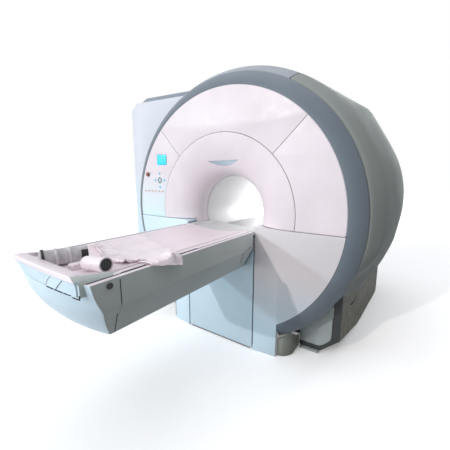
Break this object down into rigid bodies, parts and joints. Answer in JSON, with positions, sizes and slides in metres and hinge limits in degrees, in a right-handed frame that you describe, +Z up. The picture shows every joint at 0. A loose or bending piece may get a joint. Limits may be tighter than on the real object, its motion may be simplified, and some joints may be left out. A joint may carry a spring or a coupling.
{
  "type": "mri scanner",
  "caption": "Whole-body magnetic resonance scanner: round magnet housing with a flared patient bore, side wing, and a lifting table whose top slides into the bore.",
  "frame": {"origin": "on the floor, under the bore axis, in the plane of the white front face", "axes": "+Y along the bore axis, from the patient table into the magnet; +X to the right seen from the table; +Z up"},
  "size_m": [2.5, 3.439, 2.2045],
  "materials": {
    "white_cover": "satin moulded cover",
    "window": "clear light window",
    "ring_grey": "metallic slate trim",
    "barrel_grey": "painted moulded cover",
    "skirt_grey": "painted moulded cover",
    "inset_grey": "light painted panel",
    "strip_dark": "dark painted strip",
    "foot_olive": "painted foot cover",
    "wing_white": "satin moulded cover",
    "steel_frame": "grey painted steel",
    "vessel_steel": "painted steel vessel",
    "coil_resin": "cast resin",
    "bore_plastic": "bore liner",
    "ram_steel": "painted cylinder",
    "ram_chrome": "hard chrome rod",
    "table_paint": "satin painted beam",
    "table_foot": "satin moulded cover",
    "motor_black": "black motor case",
    "belt_rubber": "toothed belt",
    "pulley_aluminium": "turned pulley",
    "tabletop_white": "laminated board",
    "display_glass": "lit display",
    "key_grey": "key caps",
    "stop_red": "mushroom head",
    "linen": "cotton sheet",
    "mat_grey": "rolled mat",
    "bottle_white": "moulded bottle"
  },
  "bodies": {
    "magnet": {"body_coil": "coil_resin", "bore_liner": "bore_plastic", "bore_rails": "bore_plastic", "cold_head_turret": "steel_frame", "display_screen": "display_glass", "edge_strips": "strip_dark", "foot_covers": "foot_olive", "foot_plates": "steel_frame", "front_frame": "steel_frame", "front_funnel": "white_cover", "gradient_coil": "coil_resin", "inset_panels": "inset_grey", "joypad_disc": "key_grey", "key_strip": "key_grey", "laser_window": "window", "left_base_cover": "skirt_grey", "left_front_cover": "white_cover", "left_side_cover": "barrel_grey", "lift_cylinder": "ram_steel", "lift_frame": "steel_frame", "lower_left_cover": "white_cover", "lower_right_cover": "white_cover", "magnet_feet": "steel_frame", "neck_bridge": "bore_plastic", "neck_panel": "white_cover", "rear_cover": "barrel_grey", "rear_frame": "steel_frame", "rear_funnel": "white_cover", "right_base_cover": "skirt_grey", "right_front_cover": "white_cover", "right_side_cover": "barrel_grey", "stop_collar": "key_grey", "top_cover": "barrel_grey", "trim_ring": "ring_grey", "upper_front_cover": "white_cover", "vacuum_vessel": "vessel_steel", "wing_cap": "barrel_grey", "wing_cover": "wing_white"},
    "table_lift": {"beam_end_cover": "table_foot", "beam_head_cover": "table_paint", "drive_belt": "belt_rubber", "drive_motor": "motor_black", "lift_carriage": "steel_frame", "lift_rod": "ram_chrome", "table_beam": "table_paint", "tail_plate": "tabletop_white", "tail_tray": "tabletop_white"},
    "tabletop_slide": {"bed_sheet": "linen", "contact_box": "bottle_white", "mat_roll": "mat_grey", "phantom_bottle": "bottle_white", "tabletop": "tabletop_white"},
    "drive_wheel": {"drive_pulley": "pulley_aluminium"},
    "idler_wheel": {"idler_pulley": "pulley_aluminium"},
    "stop_head": {"stop_button": "stop_red"},
    "key_up": {"arrow_up": "key_grey"},
    "key_down": {"arrow_down": "key_grey"},
    "key_left": {"arrow_left": "key_grey"},
    "key_right": {"arrow_right": "key_grey"}
  },
  "joints": [
    {"name": "table_lift", "type": "slide", "parent": "magnet", "child": "table_lift", "axis": [0, 0, 1], "range_m": [-0.4, 0]},
    {"name": "tabletop_slide", "type": "slide", "parent": "table_lift", "child": "tabletop_slide", "axis": [0, 1, 0], "range_m": [0, 1.08]},
    {"name": "drive_wheel_spin", "type": "hinge", "parent": "table_lift", "child": "drive_wheel", "pos_m": [0, -1.165, 0.86], "axis": [-1, 0, 0], "range_deg": [0, 2960]},
    {"name": "idler_wheel_spin", "type": "hinge", "parent": "table_lift", "child": "idler_wheel", "pos_m": [0, -0.068, 0.86], "axis": [-1, 0, 0], "range_deg": [0, 2960]},
    {"name": "stop_press", "type": "slide", "parent": "magnet", "child": "stop_head", "axis": [0, 1, 0], "range_m": [0, 0.004], "stiffness_N_per_m": 3000},
    {"name": "key_up_press", "type": "slide", "parent": "magnet", "child": "key_up", "axis": [0, 1, 0], "range_m": [0, 0.0015], "stiffness_N_per_m": 1500},
    {"name": "key_down_press", "type": "slide", "parent": "magnet", "child": "key_down", "axis": [0, 1, 0], "range_m": [0, 0.0015], "stiffness_N_per_m": 1500},
    {"name": "key_left_press", "type": "slide", "parent": "magnet", "child": "key_left", "axis": [0, 1, 0], "range_m": [0, 0.0015], "stiffness_N_per_m": 1500},
    {"name": "key_right_press", "type": "slide", "parent": "magnet", "child": "key_right", "axis": [0, 1, 0], "range_m": [0, 0.0015], "stiffness_N_per_m": 1500}
  ],
  "couplings": [
    {"joint": "drive_wheel_spin", "follows": "tabletop_slide", "rad_per_m": 47.619},
    {"joint": "idler_wheel_spin", "follows": "tabletop_slide", "rad_per_m": 47.619}
  ]
}
